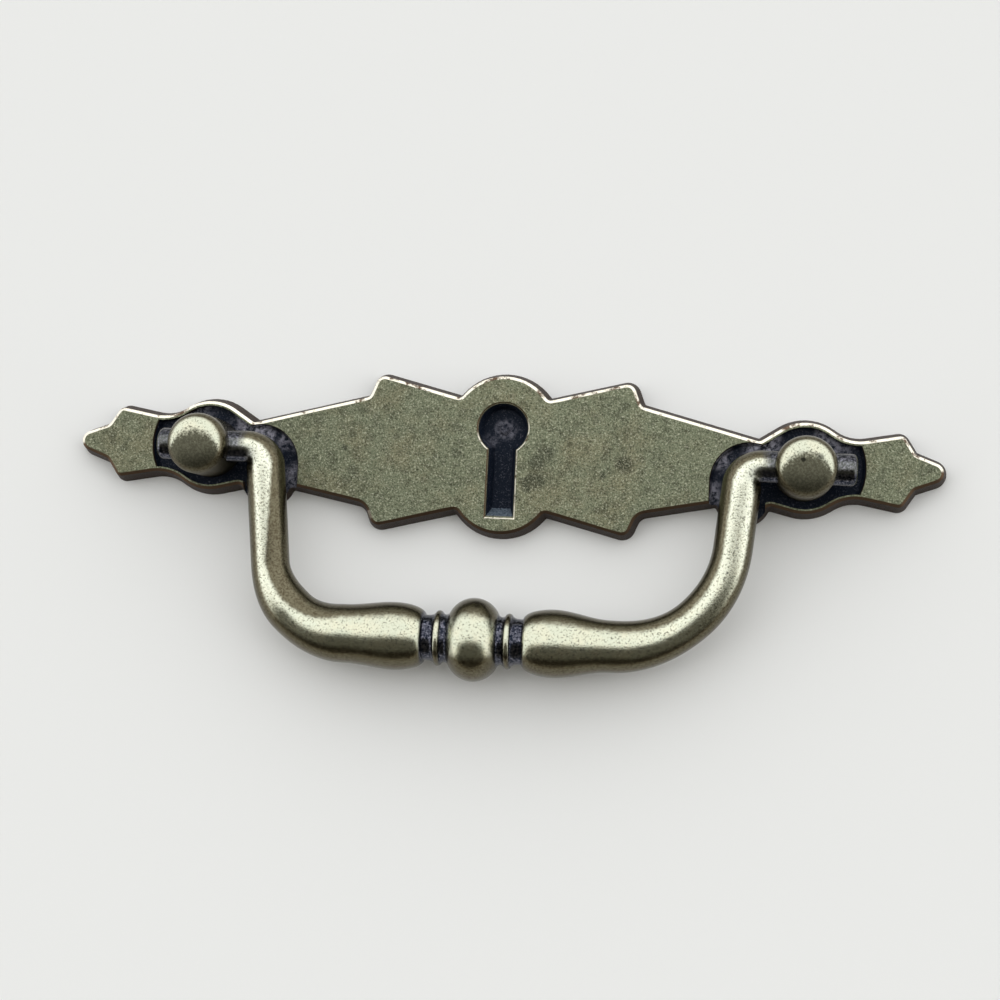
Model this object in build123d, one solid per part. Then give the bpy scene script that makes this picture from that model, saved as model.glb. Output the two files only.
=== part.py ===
from build123d import *
from math import asin, atan2, cos, degrees, hypot, radians, sin, tan
import os

# Cast bail pull: a flat plate with star ends and a blind keyhole, two domed posts, and a bail that swings
# on its own two pins. The plate's back is z = 0, +X runs to the right end, +Y to the keyhole's round end.

# Plate
POST_CENTRES = 76.2
PLATE_THICKNESS = 2.8
WALL_DRAFT = 12.5
EDGE_BEVEL = 0.3

# Corners of the plate's edge and their rounding: the ends are measured outwards from the post
TIP_FROM_POST = 19.2
TIP_RADIUS = 1.2
STAR_NOTCH_FROM_POST = 13.5
STAR_NOTCH_Y = 2.15
STAR_NOTCH_RADIUS = 0.9
STAR_POINT_FROM_POST = 12.0
STAR_POINT_Y = 4.45
STAR_POINT_RADIUS = 0.8
NECK_RADIUS = 5.5
LOBE_NOTCH_RADIUS = 0.8

# Round lobe about each post, with straight flanks down to the neck on one side and the notch on the other
LOBE_RADIUS = 5.65
LOBE_SLOPE = 33
NECK_FLANK = 2.75
NOTCH_FLANK = 3.1

# The stepped middle of the plate is measured from its centre line; its lower edge lies a little nearer to it
STEP_X = 17.35
STEP_Y = 6.95
STEP_TOP_RADIUS = 0.9
STEP_BOTTOM_RADIUS = 2.0
SHOULDER_X = 16.2
SHOULDER_Y = 9.85
SHOULDER_RADIUS = 1.1
MIDDLE_NOTCH_RADIUS = 0.8
MIDDLE_LOBE_TOP = 10.17
MIDDLE_LOBE_RADIUS = 6.6
MIDDLE_LOBE_SLOPE = 51
MIDDLE_FLANK = 0.7
MIDDLE_LOWER_RISE = 0.35

# Round tab on the lower edge under each arm of the bail
TAB_FROM_POST = 7.5
TAB_DROP = 4.0
TAB_RADIUS = 3.0
TAB_ROOT_RADIUS = 0.9

# Sunk well round each post, running out over the tab under the arm
WELL_DEPTH = 1.2
WELL_DRAFT = 20
WELL_RADIUS = 7.6
WELL_RIM = 0.5
ARM_WELL_FROM_POST = 6.8
ARM_WELL_DROP = 2.0
ARM_WELL_RADIUS = 5.0
ARM_WELL_EDGE_FROM_POST = 4.7

# Blind keyhole
KEY_EYE_Y = 3.6
KEY_EYE_RADIUS = 3.25
KEY_SLOT_TOP_WIDTH = 3.6
KEY_SLOT_END_WIDTH = 3.65
KEY_SLOT_END_Y = -7.8
KEY_DEPTH = 2.0
KEY_DRAFT = 18
KEY_END_RAMP = 1.3
KEY_EDGE_BEVEL = 0.15
KEY_PIP_RADIUS = 0.8
KEY_PIP_HEIGHT = 0.35

# Posts, a little below the plate's middle line and measured up from its front
POST_DROP = 0.25
POST_RADIUS = 3.85
POST_RISE = 7.8
POST_CROWN = 2.2
SPIGOT_RADIUS = 2.9
SPIGOT_CLEARANCE = 0.05
SPIGOT_SETBACK = 0.1
TAP_RADIUS = 1.73
TAP_DEPTH = 3.2

# Bail pins and arms
PIVOT_RISE = 3.2
PIN_RADIUS = 2.0
PIN_CLEARANCE = 0.05
PIN_OVERHANG = 2.1
PIN_END_BEVEL = 0.7
BAIL_SIDE_SHIFT = 0.3
KNUCKLE_FROM_POST = 7.8
ARM_LEAN = 5.5
ARM_RADIUS = 2.45

# The two corners of the bail differ: bend radius, half thickness in the bend, half thickness at the waist
LEFT_CORNER_RADIUS = 9.6
LEFT_CORNER_HALF = 3.1
LEFT_WAIST_HALF = 3.7
RIGHT_CORNER_RADIUS = 14.2
RIGHT_CORNER_HALF = 2.65
RIGHT_WAIST_HALF = 3.25
WAIST_LENGTH = 0.6

# Bail grip, measured from the middle of the bead, which sits off the bail's centre
BAR_DROP = 23.1
BAR_GROUND_GAP = 0.1
BEAD_OFFSET = -2.45
BEAD_RADIUS = 5.25
BEAD_HALF_WIDTH = 3.1
GROOVE_RADIUS = 3.2
RING_START = 4.0
RING_WIDTH = 0.8
RING_BEVEL = 0.22
RING_RADIUS = 3.5
NECK_OF_BAR_RADIUS = 2.9
BULB_START = 6.2
BULB_PEAK = 10.1
BULB_RADIUS = 4.25
WAIST_TAPER = 5

POST_X = POST_CENTRES / 2
WELL_FLOOR = PLATE_THICKNESS - WELL_DEPTH
PIVOT_Z = PLATE_THICKNESS + PIVOT_RISE


def lobe(radius, lean, flank):
    """Round lobe about its centre: where a flank ends, across and up, and how high two flanks would meet."""
    across = radius * sin(lean) + flank * cos(lean)
    up = radius * cos(lean) - flank * sin(lean)
    return across, up, radius / cos(lean)


def lower_lobe_corner():
    """Where the flanks under the lobe would meet: the neck's own, and the one that runs to the tab."""
    tab_slope = asin(LOBE_RADIUS / hypot(TAB_FROM_POST, TAB_DROP)) - atan2(TAB_DROP, TAB_FROM_POST)
    half = (radians(LOBE_SLOPE) + tab_slope) / 2
    lean = (radians(LOBE_SLOPE) - tab_slope) / 2
    reach = LOBE_RADIUS / cos(half)
    return reach * sin(lean), -reach * cos(lean)


def plate_outline():
    """Front edge of the plate as one face: the right end corner by corner, above and below, then mirrored."""
    neck_x, neck_y, lobe_y = lobe(LOBE_RADIUS, radians(LOBE_SLOPE), NECK_FLANK)
    notch_x, notch_y, lobe_y = lobe(LOBE_RADIUS, radians(LOBE_SLOPE), NOTCH_FLANK)
    middle_x, middle_y, middle_top = lobe(MIDDLE_LOBE_RADIUS, radians(MIDDLE_LOBE_SLOPE), MIDDLE_FLANK)
    middle_centre = MIDDLE_LOBE_TOP - MIDDLE_LOBE_RADIUS
    star = [
        (POST_X + STAR_NOTCH_FROM_POST, STAR_NOTCH_Y, STAR_NOTCH_RADIUS),
        (POST_X + STAR_POINT_FROM_POST, STAR_POINT_Y, STAR_POINT_RADIUS),
        (POST_X + neck_x, neck_y, NECK_RADIUS),
    ]
    middle = [
        (SHOULDER_X, SHOULDER_Y, SHOULDER_RADIUS),
        (middle_x, middle_centre + middle_y, MIDDLE_NOTCH_RADIUS),
    ]
    upper = star + [(POST_X, lobe_y, LOBE_RADIUS), (POST_X - notch_x, notch_y, LOBE_NOTCH_RADIUS)]
    upper += [(STEP_X, STEP_Y, STEP_TOP_RADIUS)] + middle
    corner_x, corner_y = lower_lobe_corner()
    tab_x = POST_X - TAB_FROM_POST
    lower = [(x, -y, r) for x, y, r in star]
    lower += [(POST_X + corner_x, corner_y, LOBE_RADIUS), (tab_x, -TAB_DROP, TAB_ROOT_RADIUS)]
    lower += [(STEP_X, MIDDLE_LOWER_RISE - STEP_Y, STEP_BOTTOM_RADIUS)]
    lower += [(x, MIDDLE_LOWER_RISE - y, r) for x, y, r in middle]
    right = lower[::-1] + [(POST_X + TIP_FROM_POST, 0, TIP_RADIUS)] + upper
    left = [(-x, y, r) for x, y, r in right[::-1]]
    top = [(0, middle_centre + middle_top, MIDDLE_LOBE_RADIUS)]
    bottom = [(0, MIDDLE_LOWER_RISE - middle_centre - middle_top, MIDDLE_LOBE_RADIUS)]
    corners = right + top + left + bottom
    edge = FilletPolyline(*[(x, y) for x, y, r in corners], radius=[r for x, y, r in corners], close=True)
    outline = make_face(edge)
    for side in (-1, 1):
        tab_centre = Vector(side * tab_x, -TAB_DROP)
        outline += Pos(tab_centre) * Circle(TAB_RADIUS)
        roots = [v for v in outline.vertices() if abs((v.center() - tab_centre).length - TAB_RADIUS) < 1e-4]
        outline = fillet(roots, TAB_ROOT_RADIUS)
    return outline


def well(side, outline):
    """Cutter for one well: a dish about the post inside the rim, and a slot under the arm, off the tab."""
    spread = WELL_DEPTH * tan(radians(WELL_DRAFT))
    cut = 2 * WELL_DEPTH
    front = Pos(0, 0, PLATE_THICKNESS)
    inside = extrude(Pos(0, 0, WELL_FLOOR) * offset(outline, -WELL_RIM), cut)
    dish = front * Pos(side * POST_X, 0) * Cone(WELL_RADIUS - spread, WELL_RADIUS + spread, cut)
    arm_x = side * (POST_X - ARM_WELL_FROM_POST)
    length = 2 * (TAB_DROP + TAB_RADIUS)
    slot = front * Pos(arm_x, -ARM_WELL_DROP) * Cone(ARM_WELL_RADIUS - spread, ARM_WELL_RADIUS + spread, cut)
    run = Rectangle(2 * (ARM_WELL_RADIUS - spread), length)
    slot += extrude(Pos(arm_x, -ARM_WELL_DROP - length / 2, WELL_FLOOR) * run, cut, taper=-WELL_DRAFT)
    slot &= front * Box(2 * (POST_X - ARM_WELL_EDGE_FROM_POST), 4 * length, cut)
    return (dish & inside) + slot


def keyhole():
    """Cutter for the blind keyhole: a round eye over a slot that ends in a ramp, and a pip on the floor."""
    slot = make_face(
        Polyline(
            (-KEY_SLOT_TOP_WIDTH / 2, KEY_EYE_Y),
            (KEY_SLOT_TOP_WIDTH / 2, KEY_EYE_Y),
            (KEY_SLOT_END_WIDTH / 2, KEY_SLOT_END_Y),
            (-KEY_SLOT_END_WIDTH / 2, KEY_SLOT_END_Y),
            close=True,
        )
    )
    mouth = Pos(0, KEY_EYE_Y) * Circle(KEY_EYE_RADIUS) + slot
    hole = extrude(Pos(0, 0, PLATE_THICKNESS) * mouth, -KEY_DEPTH, taper=KEY_DRAFT)
    floor_z = PLATE_THICKNESS - KEY_DEPTH
    ramp_side = Polyline(
        (KEY_SLOT_END_Y, PLATE_THICKNESS),
        (KEY_SLOT_END_Y, floor_z),
        (KEY_SLOT_END_Y + KEY_END_RAMP, floor_z),
        close=True,
    )
    ramp = extrude(Plane.YZ * make_face(ramp_side), KEY_SLOT_END_WIDTH, both=True)
    pip = Cone(KEY_PIP_RADIUS, KEY_PIP_RADIUS / 2, KEY_PIP_HEIGHT)
    hole -= ramp + Pos(0, KEY_EYE_Y, floor_z + KEY_PIP_HEIGHT / 2) * pip
    return hole + extrude(Pos(0, 0, PLATE_THICKNESS - KEY_EDGE_BEVEL) * mouth, 2 * KEY_EDGE_BEVEL, taper=-45)


def backplate():
    """Flat casting with drafted walls, a bevelled front edge, two wells, two spigot holes and the keyhole."""
    outline = plate_outline()
    plate = extrude(Pos(0, 0, PLATE_THICKNESS) * outline, -PLATE_THICKNESS, taper=-WALL_DRAFT)
    plate = chamfer(plate.faces().sort_by(Axis.Z)[-1].edges(), EDGE_BEVEL)
    spigot_hole = Cylinder(SPIGOT_RADIUS + SPIGOT_CLEARANCE, 2 * PLATE_THICKNESS)
    for side in (-1, 1):
        plate -= well(side, outline)
        plate -= Pos(side * POST_X, -POST_DROP) * spigot_hole
    return plate - keyhole()


def post(side):
    """Turned button post: spigot in the plate, round body, crowned head, cross bore and a tapped hole."""
    top = PLATE_THICKNESS + POST_RISE
    shoulder = (POST_RADIUS, top - POST_CROWN)
    with BuildSketch(Plane.XZ) as half:
        with BuildLine():
            Polyline(
                (0, top),
                (0, SPIGOT_SETBACK),
                (SPIGOT_RADIUS, SPIGOT_SETBACK),
                (SPIGOT_RADIUS, WELL_FLOOR),
                (POST_RADIUS, WELL_FLOOR),
                shoulder,
            )
            Spline((0, top), shoulder, tangents=((1, 0), (0, -1)))
        make_face()
    body = revolve(half.sketch, Axis.Z)
    body -= Pos(0, 0, PIVOT_Z) * Rot(0, 90, 0) * Cylinder(PIN_RADIUS + PIN_CLEARANCE, 3 * POST_RADIUS)
    body -= Pos(0, 0, SPIGOT_SETBACK + TAP_DEPTH / 2) * Cylinder(TAP_RADIUS, TAP_DEPTH)
    return Pos(side * POST_X, -POST_DROP) * body


def grip_half(length, waist_half):
    """One half of the turned grip, from the middle of the bead out to the waist, about its own +X axis."""
    ring_end = RING_START + RING_WIDTH
    with BuildSketch() as half:
        with BuildLine():
            TangentArc((0, BEAD_RADIUS), (BEAD_HALF_WIDTH, GROOVE_RADIUS), tangent=(1, 0))
            Polyline(
                (BEAD_HALF_WIDTH, GROOVE_RADIUS),
                (RING_START, GROOVE_RADIUS),
                (RING_START + RING_BEVEL, RING_RADIUS),
                (ring_end - RING_BEVEL, RING_RADIUS),
                (ring_end, GROOVE_RADIUS),
                (ring_end, NECK_OF_BAR_RADIUS),
                (BULB_START, NECK_OF_BAR_RADIUS),
            )
            TangentArc((BULB_PEAK, BULB_RADIUS), (BULB_START, NECK_OF_BAR_RADIUS), tangent=(-1, 0))
            taper = (1, -tan(radians(WAIST_TAPER)))
            Spline((BULB_PEAK, BULB_RADIUS), (length, waist_half), tangents=((1, 0), taper))
            Polyline((length, waist_half), (length, 0), (0, 0), (0, BEAD_RADIUS))
        make_face()
    return revolve(half.sketch, Axis.X)


def bail_side(side, corner_radius, corner_half, waist_half):
    """Pin, knuckle, arm and corner of one side, in the bail's own plane with the pin line as its X axis."""
    pin_end = POST_X + POST_RADIUS + PIN_OVERHANG
    knuckle_x = POST_X - KNUCKLE_FROM_POST
    corner_x = knuckle_x - BAR_DROP * tan(radians(ARM_LEAN))
    bar_x = corner_x - corner_radius * tan(radians(90 - ARM_LEAN) / 2) - WAIST_LENGTH
    route = [(knuckle_x, 0), (corner_x, -BAR_DROP), (bar_x, -BAR_DROP)]
    path = FilletPolyline(*[(side * x, y) for x, y in route], radius=corner_radius)
    arm, corner, bar = path.edges()
    sections = [
        Plane(corner ^ 0) * Circle(ARM_RADIUS),
        Plane(corner ^ 0.5) * Circle(corner_half),
        Plane(corner ^ 1) * Circle(waist_half),
    ]
    shank = sweep(Plane(arm ^ 0) * Circle(ARM_RADIUS), arm)
    shank += sweep(sections, corner, multisection=True)
    shank += sweep(Plane(bar ^ 0) * Circle(waist_half), bar)
    knuckle = Pos(side * knuckle_x, 0) * Rot(0, 90, 0) * Sphere(ARM_RADIUS)
    pin = Line((side * pin_end, 0), (side * knuckle_x, 0))
    rod = sweep(Plane(pin ^ 0) * Circle(PIN_RADIUS), pin)
    rod = chamfer(rod.edges().sort_by(Axis.X)[-1 if side > 0 else 0], PIN_END_BEVEL)
    return rod + knuckle + shank, side * bar_x


def bail():
    """Whole bail at rest: built flat in its own plane, then laid down until the bead is near z = 0."""
    left, left_bar_x = bail_side(-1, LEFT_CORNER_RADIUS, LEFT_CORNER_HALF, LEFT_WAIST_HALF)
    right, right_bar_x = bail_side(1, RIGHT_CORNER_RADIUS, RIGHT_CORNER_HALF, RIGHT_WAIST_HALF)
    grip = grip_half(right_bar_x - BEAD_OFFSET, RIGHT_WAIST_HALF)
    grip += mirror(grip_half(BEAD_OFFSET - left_bar_x, LEFT_WAIST_HALF), Plane.YZ)
    whole = left + right + Pos(BEAD_OFFSET, -BAR_DROP) * grip
    rest_slope = degrees(asin((PIVOT_Z - BEAD_RADIUS - BAR_GROUND_GAP) / BAR_DROP))
    return Pos(BAIL_SIDE_SHIFT, -POST_DROP, PIVOT_Z) * Rot(rest_slope, 0, 0) * whole


nodes = {
    "backplate": backplate(),
    "left_post": post(-1),
    "right_post": post(1),
    "bail": bail(),
}
os.makedirs("parts", exist_ok=True)
for name, solid in nodes.items():
    export_step(solid, f"parts/{name}.step")
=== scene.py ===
from types import SimpleNamespace

import bpy
import numpy as np
from mathutils import Matrix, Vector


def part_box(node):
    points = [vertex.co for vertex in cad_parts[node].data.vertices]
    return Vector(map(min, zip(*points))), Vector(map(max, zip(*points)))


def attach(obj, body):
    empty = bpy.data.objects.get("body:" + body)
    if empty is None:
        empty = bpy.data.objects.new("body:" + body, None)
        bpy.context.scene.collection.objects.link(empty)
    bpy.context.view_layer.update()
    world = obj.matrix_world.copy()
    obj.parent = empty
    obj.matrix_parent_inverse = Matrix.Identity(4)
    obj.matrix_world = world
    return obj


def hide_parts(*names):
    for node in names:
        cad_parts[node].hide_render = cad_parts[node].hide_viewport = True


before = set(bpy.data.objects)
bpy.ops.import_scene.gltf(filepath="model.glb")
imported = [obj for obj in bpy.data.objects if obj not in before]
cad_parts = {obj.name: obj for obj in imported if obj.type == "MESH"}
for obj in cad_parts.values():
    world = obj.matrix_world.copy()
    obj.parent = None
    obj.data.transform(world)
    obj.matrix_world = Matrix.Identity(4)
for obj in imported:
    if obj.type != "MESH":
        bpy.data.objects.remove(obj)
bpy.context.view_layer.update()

# Backplate: one flat brass casting with star ends, a round lobe at each post and a blind keyhole.
# It came sandy from the mould, was darkened all over and then rubbed back. The face is a dull grey
# olive and the front edges are worn bright; on top of that, edges facing +Y and a little -X get a
# painted cream highlight and edges facing away a painted brown shade. The outer walls are dark
# brown, partly patina and partly painted shade. Wells and keyhole stay blue-black with pale dust,
# the keyhole's floor has two pale patches, and its ramp gets painted light, a pale lit blue.
PLATE_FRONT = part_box("backplate")[1].z
FACE_OLIVE = (0.188, 0.205, 0.134)
FACE_WARM = (0.215, 0.205, 0.128)
GRAIN_DARK = (0.050, 0.052, 0.036)
GRAIN_PALE = (0.560, 0.560, 0.425)
STAIN_DARK = (0.045, 0.048, 0.036)
# Edges: the cream is wear plus a painted highlight, the brown is patina plus painted shade.
EDGE_WEAR_AND_HIGHLIGHT = (0.980, 0.930, 0.800)
EDGE_PATINA_AND_SHADE = (0.130, 0.085, 0.055)
# Outer walls: dark brown, partly patina and partly painted shade.
WALL_PATINA_AND_SHADE = (0.030, 0.018, 0.012)
RECESS_BLACK = (0.004, 0.008, 0.017)
RECESS_DUST = (0.480, 0.470, 0.550)
# Painted light: the keyhole's ramp, which faces +Y, is painted a pale lit blue.
RAMP_PAINTED_LIGHT = (0.120, 0.150, 0.185)
BRASS_SPECULAR = 0.10
GRIME_AND_SHADE_COVER = 0.9
SAND_ROUGHNESS = (0.38, 0.60)
SAND_BUMP = 0.45
SAND_DEPTH = 0.00008

# Noises, each as (size of its lumps in metres, detail, roughness).
SAND_GRAIN = (0.00022, 3.0, 0.75)
SAND_LUMPS = (0.0011, 3.0, 0.6)
FACE_CLOUDS = (0.0050, 3.0, 0.55)
EDGE_NICKS = (0.0016, 4.0, 0.7)
WELL_DUST = (0.0007, 5.0, 0.75)

# Steps on a noise, each as (start, end) or (start, end, strength).
WARM_PATCHES = (0.42, 0.72, 0.8)
DARK_LUMPS = (0.54, 0.30, 0.50)
DARK_GRAIN = (0.50, 0.32)
PALE_GRAIN = (0.52, 0.74, 0.9)
STAINED_GRAIN = (0.72, 0.44)
UNNICKED = (0.36, 0.48)
LYING_DUST = (0.39, 0.62)
STRAY_DUST = (0.52, 0.75, 0.18)
RAMP_GRAIN = (0.30, 0.60)

# Steps on where the surface lies or which way it faces, in the same form.
DARKER_LEFT = (0.005, -0.025, 0.14)
SUNK = (PLATE_FRONT - 0.00025, PLATE_FRONT - 0.0004)
BEVEL_BELOW_FACE = (0.98, 0.92)
BEVEL_ABOVE_WALL = (0.52, 0.60)
# Which way an edge faces, for its painted highlight (+Y, a little -X) and its painted shade.
EDGE_TOWARD_LIGHT = (-0.15, 0.12)
EDGE_LIGHT_LEAN = 0.3
OUTER_WALL = (0.50, 0.42)
INNER_WALL = (0.25, 0.28)
RAMP_ABOVE_WALL = (0.44, 0.50)
RAMP_BELOW_FLOOR = (0.63, 0.58)

# Round marks on the front, each as (x, y, radius, strength), lengths in millimetres.
STAINS = (
    (4.6, -0.8, 1.5, 0.75), (4.4, -2.9, 1.7, 0.75), (3.4, -3.4, 1.2, 0.8), (5.6, 0.6, 1.5, 0.7),
    (15.6, -0.4, 1.5, 0.85), (-5.8, 0.2, 0.9, 0.5), (-19.1, -2.5, 0.9, 0.5), (10.3, 6.6, 0.8, 0.4),
    (-20.3, 0.3, 0.5, 0.8), (12.9, -1.9, 0.6, 0.8),
)
# Pale marks: dust drifts in the wells, and two pale patches on the keyhole's floor.
RECESS_PALE_MARKS = (
    (-32.4, 2.8, 3.4, 1.0), (32.4, 2.8, 3.4, 1.0), (-27.0, 1.4, 3.0, 0.6), (26.8, 1.2, 3.0, 0.6),
    (-26.2, -3.5, 2.8, 0.5), (26.0, -3.5, 2.8, 0.55), (-40.0, 5.2, 2.8, 0.45),
    (41.5, 4.6, 3.4, 0.5), (0.0, 3.6, 1.7, 0.28), (-1.6, 2.0, 1.4, 0.16),
)
MARK_RAGGED = 1.6
MARK_SOFT = 0.6
NOISE_MIDDLE = 0.5
MM_PER_METRE = 1000


def feed(tree, socket, value):
    """Give a socket a link, a colour or a plain value."""
    if isinstance(value, bpy.types.NodeSocket):
        tree.links.new(value, socket)
    elif isinstance(value, tuple) and socket.type == "RGBA":
        socket.default_value = (*value, 1.0)
    else:
        socket.default_value = value


def add_node(tree, kind, settings=None, **inputs):
    """New node of a material: its settings first, then each input by its name."""
    node = tree.nodes.new(kind)
    for name, value in (settings or {}).items():
        setattr(node, name, value)
    for name, value in inputs.items():
        feed(tree, node.inputs[name.replace("_", " ")], value)
    return node


def blend(tree, share, below, above):
    """Colour that is the first where the share is 0 and the second where it is 1. On the Mix node
    inputs 0, 6 and 7 are the share and the two colours, and output 2 is the blended colour."""
    node = add_node(tree, "ShaderNodeMix", {"data_type": "RGBA"})
    for index, value in zip((0, 6, 7), (share, below, above)):
        feed(tree, node.inputs[index], value)
    return node.outputs[2]


def maths(tree, operation, first, second=0.0):
    """One arithmetic step on two sockets or values."""
    node = add_node(tree, "ShaderNodeMath", {"operation": operation})
    feed(tree, node.inputs[0], first)
    feed(tree, node.inputs[1], second)
    return node.outputs[0]


def times(tree, first, second):
    """Product of two sockets or values."""
    return maths(tree, "MULTIPLY", first, second)


def ease(tree, value, start, end, top=1.0):
    """Smooth step: 0 up to the start and the top value from the end on. The end may be the smaller
    of the two, and then the step runs downwards."""
    step = add_node(
        tree, "ShaderNodeMapRange", {"interpolation_type": "SMOOTHSTEP"},
        Value=value, From_Min=start, From_Max=end, To_Max=top,
    )
    return step.outputs["Result"]


def between(tree, value, low, high):
    """Straight line from the low value at 0 to the high one at 1."""
    line = add_node(tree, "ShaderNodeMapRange", Value=value, To_Min=low, To_Max=high)
    return line.outputs["Result"]


def speckle(tree, place, size, detail, roughness):
    """Cloudy noise from 0 to 1 whose lumps are about the size, in metres."""
    noise = add_node(
        tree, "ShaderNodeTexNoise",
        Vector=place, Scale=1 / size, Detail=detail, Roughness=roughness,
    )
    return noise.outputs["Fac"]


def spots(tree, place, ragged, marks):
    """Round marks on the front, the strongest one counting: 1 less the distance in radii, roughened
    by the ragged noise and then eased in."""
    found = 0.0
    wander = times(tree, maths(tree, "SUBTRACT", ragged, NOISE_MIDDLE), MARK_RAGGED)
    for x, y, radius, strength in marks:
        offset = add_node(tree, "ShaderNodeVectorMath", {"operation": "SUBTRACT"})
        feed(tree, offset.inputs[0], place)
        offset.inputs[1].default_value = (x / MM_PER_METRE, y / MM_PER_METRE, 0)
        flat = add_node(tree, "ShaderNodeVectorMath", {"operation": "MULTIPLY"})
        feed(tree, flat.inputs[0], offset.outputs[0])
        flat.inputs[1].default_value = (1, 1, 0)
        far = add_node(tree, "ShaderNodeVectorMath", {"operation": "LENGTH"})
        feed(tree, far.inputs[0], flat.outputs[0])
        radii = maths(tree, "DIVIDE", far.outputs["Value"], radius / MM_PER_METRE)
        near = maths(tree, "ADD", maths(tree, "SUBTRACT", 1.0, radii), wander)
        found = maths(tree, "MAXIMUM", found, ease(tree, near, 0.0, MARK_SOFT, strength))
    return found


def new_brass(name):
    """Empty brass material: its node tree, shader, Object coordinates and own direction."""
    material = bpy.data.materials.new(name)
    material.use_nodes = True
    tree = material.node_tree
    shader = tree.nodes["Principled BSDF"]
    shader.inputs["Specular IOR Level"].default_value = BRASS_SPECULAR
    coordinates = add_node(tree, "ShaderNodeTexCoord")
    facing = add_node(tree, "ShaderNodeSeparateXYZ", Vector=coordinates.outputs["Normal"])
    return material, tree, shader, coordinates.outputs["Object"], facing.outputs


plate_brass, tree, shader, place, facing = new_brass("plate_brass")
spread = add_node(tree, "ShaderNodeSeparateXYZ", Vector=place).outputs
grain = speckle(tree, place, *SAND_GRAIN)
lumps = speckle(tree, place, *SAND_LUMPS)
clouds = speckle(tree, place, *FACE_CLOUDS)
face = blend(tree, ease(tree, clouds, *WARM_PATCHES), FACE_OLIVE, FACE_WARM)
face = blend(tree, ease(tree, lumps, *DARK_LUMPS), face, GRAIN_DARK)
face = blend(tree, ease(tree, spread["X"], *DARKER_LEFT), face, GRAIN_DARK)
face = blend(tree, ease(tree, grain, *DARK_GRAIN), face, GRAIN_DARK)
face = blend(tree, ease(tree, grain, *PALE_GRAIN), face, GRAIN_PALE)
stains = times(tree, spots(tree, place, lumps, STAINS), ease(tree, grain, *STAINED_GRAIN))
face = blend(tree, stains, face, STAIN_DARK)
bevel = times(
    tree, ease(tree, facing["Z"], *BEVEL_BELOW_FACE), ease(tree, facing["Z"], *BEVEL_ABOVE_WALL),
)
# Painted light: edges facing +Y and a little -X get a cream highlight, edges facing away brown
# shade.
toward_light = maths(tree, "SUBTRACT", facing["Y"], times(tree, facing["X"], EDGE_LIGHT_LEAN))
unnicked = ease(tree, speckle(tree, place, *EDGE_NICKS), *UNNICKED)
worn_and_lit_edge = times(tree, ease(tree, toward_light, *EDGE_TOWARD_LIGHT), unnicked)
face = blend(tree, bevel, face, blend(tree, worn_and_lit_edge, EDGE_PATINA_AND_SHADE, EDGE_WEAR_AND_HIGHLIGHT))
# The outer walls get a dark brown that is partly patina and partly painted shade.
outer_wall = ease(tree, facing["Z"], *OUTER_WALL)
face = blend(tree, outer_wall, face, WALL_PATINA_AND_SHADE)
inside = times(tree, ease(tree, spread["Z"], *SUNK), ease(tree, facing["Z"], *INNER_WALL))
dust = ease(tree, speckle(tree, place, *WELL_DUST), *LYING_DUST)
recess = blend(tree, ease(tree, grain, *STRAY_DUST), RECESS_BLACK, RECESS_DUST)
recess = blend(tree, times(tree, spots(tree, place, clouds, RECESS_PALE_MARKS), dust), recess, RECESS_DUST)
# Painted light: the keyhole's ramp, which faces +Y, is painted a pale lit blue over the black.
painted_lit_ramp = times(
    tree, ease(tree, facing["Z"], *RAMP_ABOVE_WALL), ease(tree, facing["Z"], *RAMP_BELOW_FLOOR),
)
recess = blend(tree, times(tree, painted_lit_ramp, ease(tree, grain, *RAMP_GRAIN)), recess, RAMP_PAINTED_LIGHT)
feed(tree, shader.inputs["Base Color"], blend(tree, inside, face, recess))
# Walls and recesses lose their metal: grime in the recesses, grime and painted shade on the walls.
grime_and_shade = times(tree, maths(tree, "MAXIMUM", outer_wall, inside), GRIME_AND_SHADE_COVER)
feed(tree, shader.inputs["Metallic"], maths(tree, "SUBTRACT", 1.0, grime_and_shade))
feed(tree, shader.inputs["Roughness"], between(tree, grain, *SAND_ROUGHNESS))
bump = add_node(tree, "ShaderNodeBump", Strength=SAND_BUMP, Distance=SAND_DEPTH, Height=grain)
feed(tree, shader.inputs["Normal"], bump.outputs["Normal"])
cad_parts["backplate"].data.materials.clear()
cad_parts["backplate"].data.materials.append(plate_brass)

# Posts: two turned brass buttons with crowned heads, riveted into the plate and cross-bored for the
# bail's pins. Each head is pale rubbed brass with a bright crescent round the top. Below it the
# rest of the crown is painted a dull dark olive, a painted reflection of a dim room, with a few
# pits, and is made rougher. The sides are brown, partly patina and partly painted shade.
RUBBED_OLIVE = (0.530, 0.545, 0.430)
RUBBED_WARM = (0.570, 0.560, 0.430)
SPECK_DARK = (0.080, 0.077, 0.054)
# Sides and undersides: brown, partly patina and partly painted shade.
SIDE_PATINA_AND_SHADE = (0.070, 0.056, 0.033)
SIDE_OLIVE = (0.150, 0.136, 0.090)
UNDER_PATINA_AND_SHADE = (0.042, 0.034, 0.023)
PIT_BLACK = (0.016, 0.016, 0.012)
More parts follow.
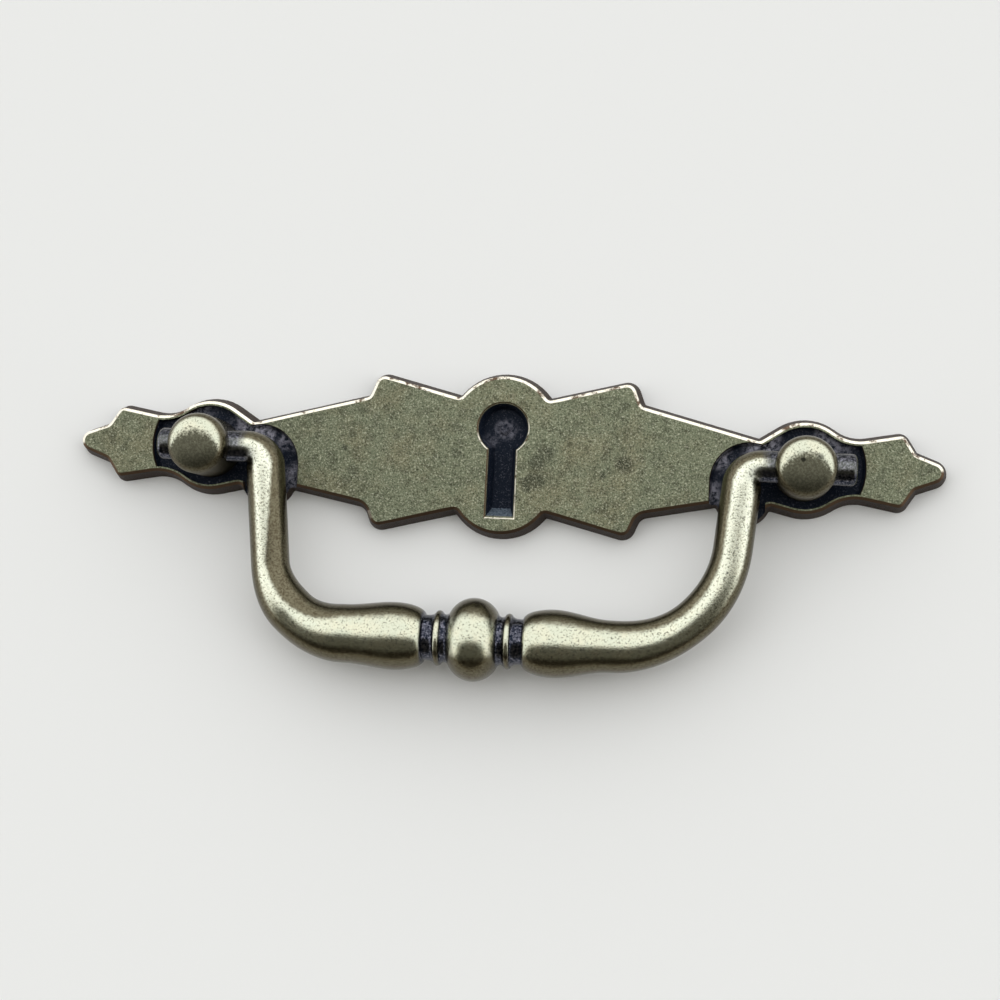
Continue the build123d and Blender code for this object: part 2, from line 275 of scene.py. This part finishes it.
# Painted reflection: the crown's lower part is painted a dull dark olive, a dim room mirrored.
CROWN_PAINTED_REFLECTION = (0.125, 0.122, 0.085)
RUBBED_GRAIN = (0.00026, 3.0, 0.7)
RUBBED_CLOUDS = (0.0020, 3.0, 0.55)
WARM_CLOUDS = (0.38, 0.70)
DARK_SPECKS = (0.48, 0.30, 0.9)
CROWN_SPECKS = (0.62, 0.40)
OLIVE_SPECKS = (0.34, 0.62)
CROWN_EDGE = (0.22, 0.05)
CROWN_RAGGED = 0.35
CRESCENT_HORNS = 0.8
UNDERSIDE = (0.20, -0.20)
UNDER_COVER = 0.3
RUBBED_ROUGHNESS = (0.16, 0.30)
CROWN_ROUGHER = 0.25
RUBBED_BUMP = 0.30
RUBBED_DEPTH = 0.00005
HEAD_SIDES = (0.87, 0.68)
HEAD_PITS = ((37.6, 0.5, 0.35, 0.9), (39.7, 0.9, 0.6, 0.6))


def rubbed_brass(name, pits, sides, painted_dark_crown):
    """Brass worn smooth on top: pale olive with fine dark specks and a few pits, brown on the sides
    and beneath, partly patina and partly painted shade. The share for the painted dark crown, from
    0 to 1, is how strongly the lower part of a crown is painted a dull dark olive, a painted
    reflection, and made rougher: below an edge that sinks with the square of how far the surface
    faces left or right."""
    material, tree, shader, place, facing = new_brass(name)
    grain = speckle(tree, place, *RUBBED_GRAIN)
    clouds = speckle(tree, place, *RUBBED_CLOUDS)
    face = blend(tree, ease(tree, clouds, *WARM_CLOUDS), RUBBED_OLIVE, RUBBED_WARM)
    face = blend(tree, ease(tree, grain, *DARK_SPECKS), face, SPECK_DARK)
    # Painted reflection: below a ragged edge the crown is painted dull dark olive and made rougher.
    wander = times(tree, maths(tree, "SUBTRACT", grain, NOISE_MIDDLE), CROWN_RAGGED)
    horns = times(tree, times(tree, facing["X"], facing["X"]), CRESCENT_HORNS)
    slope = maths(tree, "ADD", maths(tree, "ADD", facing["Y"], wander), horns)
    dull = ease(tree, slope, *CROWN_EDGE, painted_dark_crown)
    crown = blend(tree, ease(tree, grain, *CROWN_SPECKS), CROWN_PAINTED_REFLECTION, SPECK_DARK)
    face = blend(tree, dull, face, crown)
    face = blend(tree, spots(tree, place, clouds, pits), face, PIT_BLACK)
    # Sides and undersides turn brown, partly patina and partly painted shade.
    brown = blend(tree, ease(tree, grain, *OLIVE_SPECKS), SIDE_PATINA_AND_SHADE, SIDE_OLIVE)
    face = blend(tree, ease(tree, facing["Z"], *sides), face, brown)
    low = ease(tree, facing["Z"], *UNDERSIDE)
    face = blend(tree, low, face, UNDER_PATINA_AND_SHADE)
    metal = maths(tree, "SUBTRACT", 1.0, times(tree, low, UNDER_COVER))
    feed(tree, shader.inputs["Metallic"], metal)
    rougher = times(tree, dull, CROWN_ROUGHER)
    roughness = maths(tree, "ADD", between(tree, grain, *RUBBED_ROUGHNESS), rougher)
    feed(tree, shader.inputs["Roughness"], roughness)
    bump = add_node(
        tree, "ShaderNodeBump", Strength=RUBBED_BUMP, Distance=RUBBED_DEPTH, Height=grain,
    )
    feed(tree, shader.inputs["Normal"], bump.outputs["Normal"])
    return SimpleNamespace(
        material=material, tree=tree, base=shader.inputs["Base Color"], place=place, grain=grain,
        face=face, brown=brown,
    )


heads = rubbed_brass("post_brass", HEAD_PITS, HEAD_SIDES, painted_dark_crown=1.0)
feed(heads.tree, heads.base, heads.face)
for name in ("left_post", "right_post"):
    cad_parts[name].data.materials.clear()
    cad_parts[name].data.materials.append(heads.material)

# Bail: one brass casting, a bent rod whose pins turn in the posts' cross bores. Its grip is turned,
# with a bead, two thin rings and two long bulbs; its left corner is tighter and thicker. The top is
# pale rubbed brass and the arms paler still, partly polish from handling and partly a painted
# highlight. The flanks turn brown, partly patina and partly painted shade. The grooves stay black,
# the pins dark with grime and painted shade, and the inside of each elbow and the pins' lower
# sides get painted shade.
PIN_LINE = (0.0003, -0.00025, 0.0060)
PIN_END = 0.04405
PIN_RADIUS = 0.0020
PIN_ROUNDING = 0.0007
KNUCKLE_X = 0.0303
KNUCKLE_BEND = 0.0026
ARM_LEAN = np.radians(5.5)
ARM_RADIUS = 0.00245
BAR_DROP = 0.0231
BEAD_X = -0.00245
BEAD_RADIUS = 0.00524
BEAD_HALF = 0.0031
GROOVE_RADIUS = 0.0032
GROOVE_DIP = 0.0002
RING_START = 0.0040
RING_END = 0.0048
RING_RADIUS = 0.00348
NECK_RADIUS = 0.00285
BULB_START = 0.0062
BULB_PEAK = 0.0101
BULB_RADIUS = 0.00425
WAIST_LENGTH = 0.0006
FLOOR_GAP = 0.00011
REST_SLOPE = np.arcsin((PIN_LINE[2] - BEAD_RADIUS - FLOOR_GAP) / BAR_DROP)

# Each side's corner: the bend's radius, the rod's radius there and at the waist, and how far round
# the worn and lit top reaches inwards, at five places from waist to pin, and outwards, as cosines.
# Past these reaches the flanks turn brown, partly patina and partly painted shade.
RIGHT_SIDE = {
    "bend": 0.0142, "corner": 0.00265, "waist": 0.00325,
    "inwards": (0.50, 0.34, 0.34, 0.34, 0.36), "outwards": 0.55,
}
LEFT_SIDE = {
    "bend": 0.0096, "corner": 0.00310, "waist": 0.00370,
    "inwards": (0.48, 0.12, -0.14, 0.38, 0.36), "outwards": 0.34,
}
BULB_INWARDS = 0.50
BAR_OUTWARDS = 0.30
FLANK_PATINA_AND_SHADE_FADE = 0.3
# Paler arms: partly polish from handling, partly a painted highlight.
ARM_POLISH_AND_HIGHLIGHT = (0, 0.7, 1, 0.7)
GRIME_ON_BULB = 0.0004
GRIME_FADE = 0.00024
# The pin: dark with grime and dust, and with painted shade between post and knuckle.
PIN_GRIME_AND_SHADE = 0.88
PIN_GRIME_AND_SHADE_LEAD = 0.0002
PIN_GRIME_AND_SHADE_FADE = 0.0005
KNUCKLE_PAINTED_SHADE = 0.45
KNUCKLE_PAINTED_SHADE_FALL = 1.6
TIP_MARK = 0.6

# Steps round the rod and along the grip's parts, the corner, the arm, the knuckle, the pin and tip.
AROUND = 72
GRIP_STEPS = 28
CORNER_STEPS = 48
ARM_STEPS = 16
KNUCKLE_STEPS = 24
PIN_STEPS = 12
TIP_STEPS = 12

# Pale arm colour: partly polish from handling, partly a painted highlight.
ARM_PALE_AND_HIGHLIGHT = (0.740, 0.750, 0.620)
POLISHED_GRAIN = (0.38, 0.52)
SIDE_NOISE = (0.0006, 4.0, 0.8)
SIDE_RAGGED = 0.8
SIDE_EDGE = (0.40, 1.15)
GROOVE_DUST = (0.0003, 4.0, 0.75)
GROOVE_LYING = (0.40, 0.76, 0.5)
ROD_SIDES = (0.35, 0.10)
ARM_PITS = (
    (31.1, -5.4, 0.28, 0.95), (30.8, -6.8, 0.22, 0.8), (30.1, -10.5, 0.3, 0.9),
    (29.0, -13.6, 0.28, 0.8), (28.7, -14.3, 0.25, 0.8),
)


def level_cubic(t):
    """From 0 to 1 on a cubic that is level at both ends: three squares less two cubes."""
    return t**2 * (3 - 2 * t)


def turned_grip(length, waist):
    """Half of the grip as distances from the bead's middle and radii. The bead is an arc of a
    circle, the groove dips by a half sine, the ring is the root of a half sine, the neck falls away
    with a fourth power, the bulb begins as a quarter ellipse and then falls to the waist on a cubic
    that is level at both ends."""
    t = np.linspace(0, 1, GRIP_STEPS, endpoint=False)
    drop = BEAD_RADIUS - GROOVE_RADIUS
    arc = (BEAD_HALF**2 + drop**2) / (2 * drop)
    turn = t * np.arcsin(BEAD_HALF / arc)
    half_sine = np.sin(np.pi * t)
    swell = np.pi / 2 * t
    bead = (arc * np.sin(turn), BEAD_RADIUS - arc + arc * np.cos(turn))
    groove = (
        BEAD_HALF + (RING_START - BEAD_HALF) * t,
        GROOVE_RADIUS - GROOVE_DIP * half_sine,
    )
    ring = (
        RING_START + (RING_END - RING_START) * t,
        GROOVE_RADIUS + (RING_RADIUS - GROOVE_RADIUS) * np.sqrt(half_sine),
    )
    neck = (
        RING_END + (BULB_START - RING_END) * t,
        NECK_RADIUS + (GROOVE_RADIUS - NECK_RADIUS) * (1 - t)**4,
    )
    shoulder = (
        BULB_PEAK - (BULB_PEAK - BULB_START) * np.cos(swell),
        NECK_RADIUS + (BULB_RADIUS - NECK_RADIUS) * np.sin(swell),
    )
    bulb = (
        BULB_PEAK + (length - BULB_PEAK) * t,
        BULB_RADIUS + (waist - BULB_RADIUS) * level_cubic(t),
    )
    return np.hstack((bead, groove, ring, neck, shoulder, bulb))


def bail_half(bead_x, bend, corner, waist, inwards, outwards):
    """One half of the bail from the bead out to its pin, as rows: centres, normals, radii, grime in
    the grooves and grime with painted shade on the pin, a share along the knuckle for its painted
    shade, how far the worn and lit top reaches inwards and outwards, and how pale the arm is made,
    partly wear and partly a painted highlight. The line runs straight along the bar, turns evenly
    round the corner, runs up the arm, turns back at the knuckle and ends in the pin; each step is
    the chord of an even turn. The radius goes from waist to corner to arm to pin on cubics level at
    both ends."""
    turn = np.pi / 2 - ARM_LEAN
    corner_x = KNUCKLE_X - BAR_DROP * np.tan(ARM_LEAN)
    bar = corner_x - bend * np.tan(turn / 2) - bead_x
    arm = BAR_DROP / np.cos(ARM_LEAN) - (bend + KNUCKLE_BEND) * np.tan(turn / 2)
    pin = PIN_END - KNUCKLE_X - KNUCKLE_BEND * np.tan(turn / 2)
    ends = np.cumsum([0, bar, bend * turn, arm, KNUCKLE_BEND * turn, pin])
    waist_start, tip_start = ends[1] - WAIST_LENGTH, ends[5] - PIN_ROUNDING
    grip, grip_radius = turned_grip(waist_start, waist)
    along = np.concatenate((
        grip,
        np.linspace(waist_start, ends[2], CORNER_STEPS, endpoint=False),
        np.linspace(ends[2], ends[3], ARM_STEPS, endpoint=False),
        np.linspace(ends[3], ends[4], KNUCKLE_STEPS, endpoint=False),
        np.linspace(ends[4], tip_start, PIN_STEPS, endpoint=False),
        tip_start + PIN_ROUNDING * np.sin(np.linspace(0, np.pi / 2, TIP_STEPS)),
    ))
    heading = np.interp(along, ends, (0, 0, turn, turn, 0, 0))
    knots = np.array((waist_start, (ends[1] + ends[2]) / 2, ends[2], ends[3], ends[4]))
    sizes = np.array((waist, corner, ARM_RADIUS, ARM_RADIUS, PIN_RADIUS))
    leg = np.clip(np.searchsorted(knots, along, side="right") - 1, 0, knots.size - 2)
    share = np.clip((along - knots[leg]) / (knots[leg + 1] - knots[leg]), 0, 1)
    radius = sizes[leg] + (sizes[leg + 1] - sizes[leg]) * level_cubic(share)
    radius[:grip.size] = grip_radius
    tip = np.clip((along - tip_start) / PIN_ROUNDING, 0, 1)
    radius -= PIN_ROUNDING * (1 - np.sqrt(1 - tip**2))
    step, swing = np.diff(along), np.diff(heading)
    chord = step * np.sinc(swing / 2 / np.pi)
    middle = (heading[1:] + heading[:-1]) / 2
    x = bead_x + np.concatenate(([0], np.cumsum(chord * np.cos(middle))))
    y = -BAR_DROP + np.concatenate(([0], np.cumsum(chord * np.sin(middle))))
    low = np.clip((RING_RADIUS - radius) / GRIME_FADE, 0, 1)
    low[along >= BULB_START + GRIME_ON_BULB] = 0
    pin_grime_and_shade = np.clip((along - ends[4] + PIN_GRIME_AND_SHADE_LEAD) / PIN_GRIME_AND_SHADE_FADE, 0, PIN_GRIME_AND_SHADE)
    at_knuckle = np.clip((along - ends[3]) / (ends[4] - ends[3]), 0, 1)
    inner_reach = np.interp(along, (BULB_PEAK, *knots), (BULB_INWARDS, *inwards))
    outer_reach = np.interp(along, (ends[1], ends[2]), (BAR_OUTWARDS, outwards))
    polish_and_highlight = np.interp(along, ends[1:5], ARM_POLISH_AND_HIGHLIGHT)
    return np.array((
        x, y, -np.sin(heading), np.cos(heading), radius, np.maximum(low, pin_grime_and_shade), at_knuckle,
        inner_reach, outer_reach, polish_and_highlight,
    ))


right_half = bail_half(BEAD_X, **RIGHT_SIDE)
left_half = bail_half(-BEAD_X, **LEFT_SIDE)
left_half[[0, 2]] *= -1
rod = np.hstack((left_half[:, :0:-1], right_half))[:, :, None]
x, y, normal_x, normal_y, radius, groove_grime_and_pin_shade, at_knuckle, inner_reach, outer_reach, polish_and_highlight = rod
stations = x.size
phi = np.linspace(0, 2 * np.pi, AROUND, endpoint=False)
reach = radius * np.cos(phi)
tube = np.stack((x + normal_x * reach, y + normal_y * reach, radius * np.sin(phi)), axis=-1)
poles = np.array(((x[0, 0], y[0, 0], 0), (x[-1, 0], y[-1, 0], 0)))
points = np.vstack((tube.reshape(-1, 3), poles))
lay = np.array((
    (1, 0, 0),
    (0, np.cos(REST_SLOPE), -np.sin(REST_SLOPE)),
    (0, np.sin(REST_SLOPE), np.cos(REST_SLOPE)),
))
points = points @ lay.T + PIN_LINE
rings = np.arange(stations * AROUND).reshape(stations, AROUND)
beside = np.roll(rings, -1, axis=1)
quads = np.stack((rings[:-1], beside[:-1], beside[1:], rings[1:]), axis=-1).reshape(-1, 4)
first, last = rings.size, rings.size + 1
start_fan = np.stack((np.full(AROUND, first), beside[0], rings[0]), axis=-1)
end_fan = np.stack((np.full(AROUND, last), rings[-1], beside[-1]), axis=-1)
faces = quads.tolist() + start_fan.tolist() + end_fan.tolist()
bail_mesh = bpy.data.meshes.new("bail_rod")
bail_mesh.from_pydata(points.tolist(), [], faces)
bail_mesh.polygons.foreach_set("use_smooth", np.ones(len(faces), dtype=bool))
# Painted shade inside the elbow and on the pin's lower side.
knuckle_painted_shade = np.clip(KNUCKLE_PAINTED_SHADE - KNUCKLE_PAINTED_SHADE_FALL * np.cos(phi), 0, 1)
# Past the worn and lit top the flanks turn brown, partly patina and partly painted shade.
past_worn_and_lit_top = np.maximum(np.cos(phi) - inner_reach, -np.cos(phi) - outer_reach)
# Groove mark: grime in the grooves, grime and painted shade on the pin, painted shade at the
# knuckle.
rod_marks = {
    "groove": np.maximum(groove_grime_and_pin_shade, at_knuckle * knuckle_painted_shade),
    "side": np.clip(past_worn_and_lit_top / FLANK_PATINA_AND_SHADE_FADE, 0, 1),
    "polish_and_highlight": polish_and_highlight + np.zeros(AROUND),
}
for name, marks in rod_marks.items():
    values = np.concatenate((marks.ravel(), (TIP_MARK, TIP_MARK)))
    mark = bail_mesh.attributes.new(name, "FLOAT", "POINT")
    mark.data.foreach_set("value", values.astype(np.float32))
bail_rod = bpy.data.objects.new("bail_rod", bail_mesh)
bpy.context.scene.collection.objects.link(bail_rod)


def rod_mark(tree, name):
    """One of the marks that the rod's mesh carries."""
    return add_node(tree, "ShaderNodeAttribute", {"attribute_name": name}).outputs["Fac"]


bail_brass = rubbed_brass("bail_brass", ARM_PITS, ROD_SIDES, painted_dark_crown=0.0)
tree, place = bail_brass.tree, bail_brass.place
# The arms are painted paler: partly polish from handling, partly a painted highlight.
polished_and_highlit = times(tree, rod_mark(tree, "polish_and_highlight"), ease(tree, bail_brass.grain, *POLISHED_GRAIN))
face = blend(tree, polished_and_highlit, bail_brass.face, ARM_PALE_AND_HIGHLIGHT)
# Brown flanks: partly patina and partly painted shade.
ragged = times(tree, speckle(tree, place, *SIDE_NOISE), SIDE_RAGGED)
side = ease(tree, maths(tree, "ADD", rod_mark(tree, "side"), ragged), *SIDE_EDGE)
face = blend(tree, side, face, bail_brass.brown)
# Black in the grooves is grime; on the pin and at the knuckle it is partly painted shade.
dust = ease(tree, speckle(tree, place, *GROOVE_DUST), *GROOVE_LYING)
black = blend(tree, dust, RECESS_BLACK, RECESS_DUST)
feed(tree, bail_brass.base, blend(tree, rod_mark(tree, "groove"), face, black))
bail_mesh.materials.append(bail_brass.material)
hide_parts("bail")
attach(bail_rod, "bail")

# Floor: one plain pale sheet of paper under the pull, lying flat. It is large enough to fill the
# picture and to run on behind the pull in other views.
FLOOR_HALF = 12.0
FLOOR_PALE = (0.84, 0.84, 0.83)
FLOOR_ROUGHNESS = 0.9
floor_mesh = bpy.data.meshes.new("floor")
corners = np.array([(-1, -1, 0), (1, -1, 0), (1, 1, 0), (-1, 1, 0)]) * FLOOR_HALF
floor_mesh.from_pydata(corners.tolist(), [], [(0, 1, 2, 3)])
floor = bpy.data.objects.new("floor", floor_mesh)
bpy.context.scene.collection.objects.link(floor)
floor_paper = bpy.data.materials.new("floor_paper")
floor_paper.use_nodes = True
paper = floor_paper.node_tree.nodes["Principled BSDF"].inputs
paper["Base Color"].default_value = (*FLOOR_PALE, 1)
paper["Roughness"].default_value = FLOOR_ROUGHNESS
floor_mesh.materials.append(floor_paper)

# Light: a bright soft room all round, without lamps, open towards the keyhole's side and both ends.
# It is dim in a broad, round-ended strip from just short of overhead down the grip's side, so that
# round brass shows one bright band. A pale band runs round the horizon behind the floor.
ROOM_BRIGHT = 1.60
ROOM_DIM = 0.10
ROOM_HORIZON = 0.80
ROOM_WHITE = (0.99, 1.0, 1.0)
ROOM_WARM = (1.0, 0.93, 0.72)
DIM_X = 0.02
DIM_Y = -0.35
DIM_WIDE = 0.84
DIM_DEEP = 0.33
DIM_EDGE = (0.76, 1.18)
HORIZON_EDGE = (0.12, 0.04)
room = bpy.data.worlds.new("room")
bpy.context.scene.world = room
room.use_nodes = True
tree = room.node_tree
looking = add_node(tree, "ShaderNodeTexCoord").outputs["Generated"]
sky = add_node(tree, "ShaderNodeSeparateXYZ", Vector=looking).outputs
across = maths(tree, "DIVIDE", maths(tree, "SUBTRACT", sky["X"], DIM_X), DIM_WIDE)
beyond = maths(tree, "DIVIDE", maths(tree, "SUBTRACT", sky["Y"], DIM_Y), DIM_DEEP)
beyond = maths(tree, "MAXIMUM", beyond, 0.0)
away = maths(tree, "ADD", times(tree, across, across), times(tree, beyond, beyond))
lit = ease(tree, away, *DIM_EDGE)
strength = maths(tree, "ADD", times(tree, lit, ROOM_BRIGHT - ROOM_DIM), ROOM_DIM)
band = add_node(tree, "ShaderNodeMix", {"data_type": "FLOAT"})
feed(tree, band.inputs[0], ease(tree, sky["Z"], *HORIZON_EDGE))
feed(tree, band.inputs[2], strength)
feed(tree, band.inputs[3], ROOM_HORIZON)
background = tree.nodes["Background"].inputs
feed(tree, background["Strength"], band.outputs[0])
feed(tree, background["Color"], blend(tree, lit, ROOM_WARM, ROOM_WHITE))

# Camera: looks nearly straight down, from a little to the right of the pull and below its middle.
# It is turned a little, so that the plate's right end lies lower in the picture than its left.
CAMERA_LENS = 70.2
CAMERA_SENSOR = 36.0
CAMERA_NEAR = 0.01
CAMERA_RIGHT = (0.99208, 0.04783, -0.11618)
CAMERA_UP = (-0.0415, 0.99755, 0.05627)
CAMERA_BACK = (0.11858, -0.051, 0.99163)
CAMERA_PLACE = (0.02938, -0.01818, 0.24820)
camera = bpy.data.objects.new("camera", bpy.data.cameras.new("camera"))
bpy.context.scene.collection.objects.link(camera)
camera.data.lens = CAMERA_LENS
camera.data.sensor_width = CAMERA_SENSOR
camera.data.clip_start = CAMERA_NEAR
stand = Matrix((CAMERA_RIGHT, CAMERA_UP, CAMERA_BACK)).transposed().to_4x4()
stand.translation = CAMERA_PLACE
camera.matrix_world = stand
bpy.context.scene.camera = camera
bpy.context.scene.view_settings.view_transform = "Standard"
